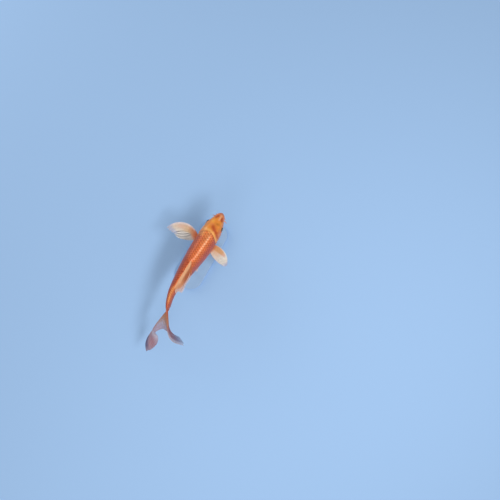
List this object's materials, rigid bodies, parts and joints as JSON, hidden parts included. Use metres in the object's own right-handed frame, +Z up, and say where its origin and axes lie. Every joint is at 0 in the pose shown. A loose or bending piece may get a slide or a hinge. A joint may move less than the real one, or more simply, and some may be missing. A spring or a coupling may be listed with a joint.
{
  "type": "koi carp, long-finned, life-size still model on a display stand",
  "caption": "Young orange long-finned koi, swimming with its tail swept to the right, held up on a small flat display stand.",
  "frame": {"origin": "the middle of the stand base's underside, on the floor", "axes": "+X towards the tail, with the head at -X; +Y towards the fish's right side; +Z up, the fish swimming level"},
  "size_m": [0.2618, 0.1211, 0.108],
  "materials": {
    "head_skin": "wet gloss, smooth skin, orange with a yellow crescent behind the head shield",
    "body_skin": "wet gloss, overlapping scales, orange",
    "fin": "thin rayed membrane, orange at the root and cream to rose towards the edge",
    "eye": "clear gloss, black pupil in an amber ring",
    "stand_paint": "satin pale blue-grey paint",
    "stand_rod": "brushed"
  },
  "bodies": {
    "root": {"head": "head_skin", "upper_lip": "head_skin", "lower_jaw": "head_skin", "gill_cover_left": "head_skin", "gill_cover_right": "head_skin", "eye_left": "eye", "eye_right": "eye", "barbel_lip_left": "head_skin", "barbel_lip_right": "head_skin", "barbel_corner_left": "head_skin", "barbel_corner_right": "head_skin", "trunk_front": "body_skin", "trunk_rear": "body_skin", "tail_stalk": "body_skin", "dorsal_fin": "fin", "anal_fin": "fin", "pectoral_fin_left": "fin", "pectoral_fin_right": "fin", "pelvic_fin_left": "fin", "pelvic_fin_right": "fin", "tail_fin_upper": "fin", "tail_fin_lower": "fin", "stand_base": "stand_paint", "stand_rod_front": "stand_rod", "stand_rod_rear": "stand_rod"}
  },
  "joints": []
}
